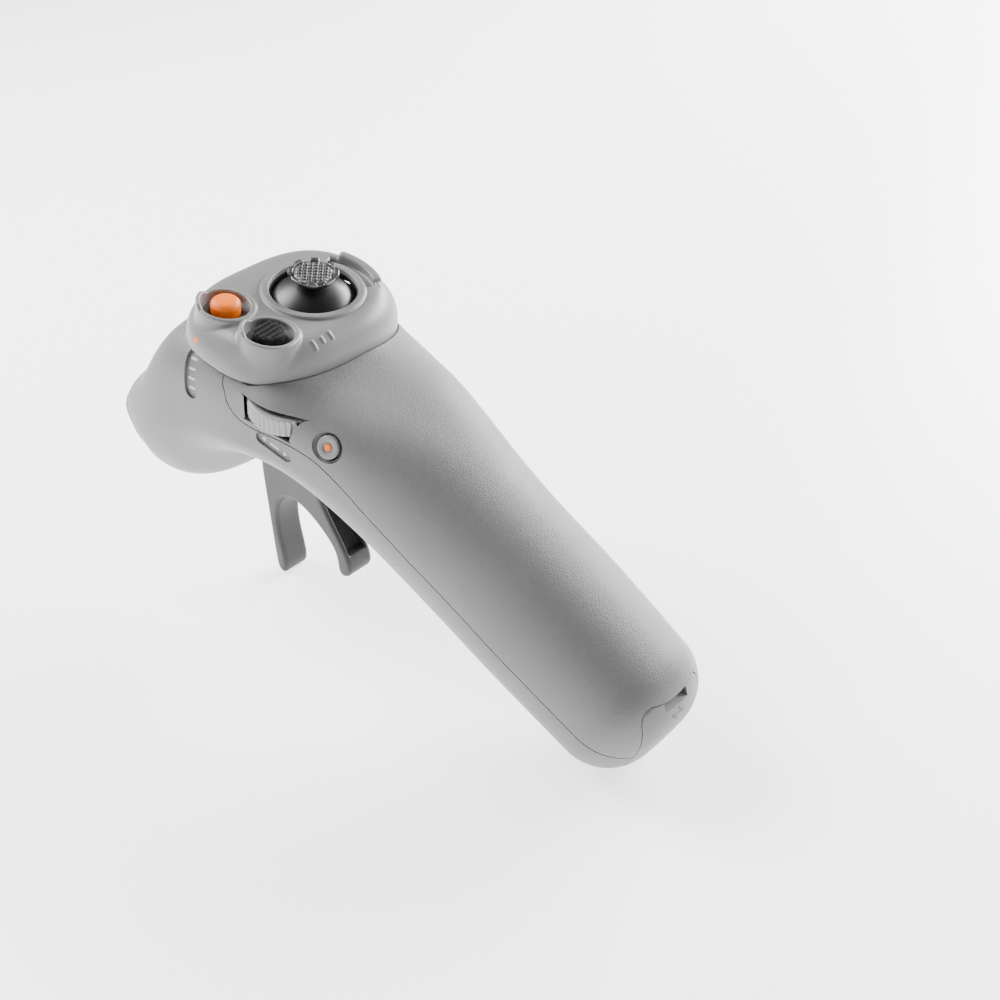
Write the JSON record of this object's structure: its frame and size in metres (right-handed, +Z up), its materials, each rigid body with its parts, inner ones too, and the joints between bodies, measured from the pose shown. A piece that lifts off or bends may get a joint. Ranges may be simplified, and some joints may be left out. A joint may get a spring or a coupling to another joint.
{
  "type": "radio transmitter controller",
  "caption": "One-hand motion controller for a camera drone: joystick head, push buttons, ribbed dial, two-finger trigger and pistol grip with a charging cover.",
  "frame": {"origin": "centre of the controller's footprint on the surface it stands on", "axes": "+X from the end of the grip to the nose, +Y to the side with the buttons and the dial (left in the hand), +Z up as it stands on its trigger and on the end of its grip"},
  "size_m": [0.1552, 0.0508, 0.0879],
  "materials": {
    "body_plastic": "fine-grained satin, warm light grey",
    "cap_plastic": "smooth satin, light grey",
    "dial_plastic": "smooth satin, pale grey, ribbed rim",
    "trigger_plastic": "satin, dark grey",
    "button_plastic": "satin, charcoal",
    "orange_plastic": "semi-gloss, orange",
    "gloss_plastic": "semi-gloss, black",
    "gunmetal": "dark anodised, knurled",
    "steel": "bright, ground",
    "circuit_board": "satin solder mask, dark green",
    "inner_plastic": "moulded, dark grey",
    "battery_wrap": "shrink sleeve over a metal can, blue",
    "wire_insulation": "soft, red"
  },
  "bodies": {
    "casing": {"battery": "battery_wrap", "battery_cradle": "inner_plastic", "battery_lead": "wire_insulation", "button_board": "circuit_board", "buzzer": "button_plastic", "cap_screw_1": "steel", "cap_screw_2": "steel", "cap_screw_3": "steel", "charging_board": "circuit_board", "dial_axle": "steel", "dial_bracket": "inner_plastic", "dial_encoder": "steel", "front_shell": "body_plastic", "inner_frame": "inner_plastic", "joystick_housing": "inner_plastic", "left_antenna": "circuit_board", "lock_switch": "steel", "main_board": "circuit_board", "mode_switch": "steel", "pitch_sensor": "button_plastic", "port_frame": "inner_plastic", "radio_shield": "steel", "rear_shell": "body_plastic", "record_switch": "steel", "right_antenna": "circuit_board", "roll_sensor": "button_plastic", "top_cap": "cap_plastic", "trigger_bracket": "inner_plastic", "trigger_pin": "steel", "trigger_sensor_board": "circuit_board", "usb_socket": "steel", "vibration_motor": "steel"},
    "stick_ring": {"gimbal_ring": "steel"},
    "stick": {"joystick_dome": "gloss_plastic", "joystick_stem": "steel", "joystick_cap": "gunmetal", "joystick_pad": "inner_plastic", "stick_block": "inner_plastic"},
    "lock": {"lock_button": "orange_plastic"},
    "mode": {"mode_button": "button_plastic"},
    "record": {"record_button": "cap_plastic", "record_dot": "orange_plastic"},
    "dial": {"function_dial": "dial_plastic"},
    "trigger_lever": {"trigger": "trigger_plastic", "trigger_magnet": "steel", "trigger_spring": "steel"},
    "cover": {"port_cover": "body_plastic"}
  },
  "joints": [
    {"name": "stick_roll", "type": "hinge", "parent": "casing", "child": "stick_ring", "pos_m": [0.02923, -0.0046, 0.07086], "axis": [0.9812, 0, 0.193], "range_deg": [-12, 12], "stiffness_Nm_per_rad": 0.02},
    {"name": "stick_pitch", "type": "hinge", "parent": "stick_ring", "child": "stick", "pos_m": [0.02923, -0.0046, 0.07086], "axis": [0, 1, 0], "range_deg": [-12, 12], "stiffness_Nm_per_rad": 0.02},
    {"name": "lock_push", "type": "slide", "parent": "casing", "child": "lock", "axis": [0.193, 0, -0.9812], "range_m": [0, 0.001], "stiffness_N_per_m": 80},
    {"name": "mode_push", "type": "slide", "parent": "casing", "child": "mode", "axis": [0.193, 0, -0.9812], "range_m": [0, 0.001], "stiffness_N_per_m": 80},
    {"name": "record_push", "type": "slide", "parent": "casing", "child": "record", "axis": [0.3196, -0.8627, -0.3919], "range_m": [0, 0.0006], "stiffness_N_per_m": 80},
    {"name": "dial_turn", "type": "hinge", "parent": "casing", "child": "dial", "pos_m": [0.01495, 0.0153, 0.06622], "axis": [-0.193, 0, 0.9812], "continuous": true},
    {"name": "trigger_pull", "type": "hinge", "parent": "casing", "child": "trigger_lever", "pos_m": [0.03189, 0, 0.05212], "axis": [0, 1, 0], "range_deg": [-6, 10], "stiffness_Nm_per_rad": 0.6},
    {"name": "cover_open", "type": "hinge", "parent": "casing", "child": "cover", "pos_m": [-0.0698, 0, 0.00502], "axis": [0, -1, 0], "range_deg": [0, 60]}
  ]
}
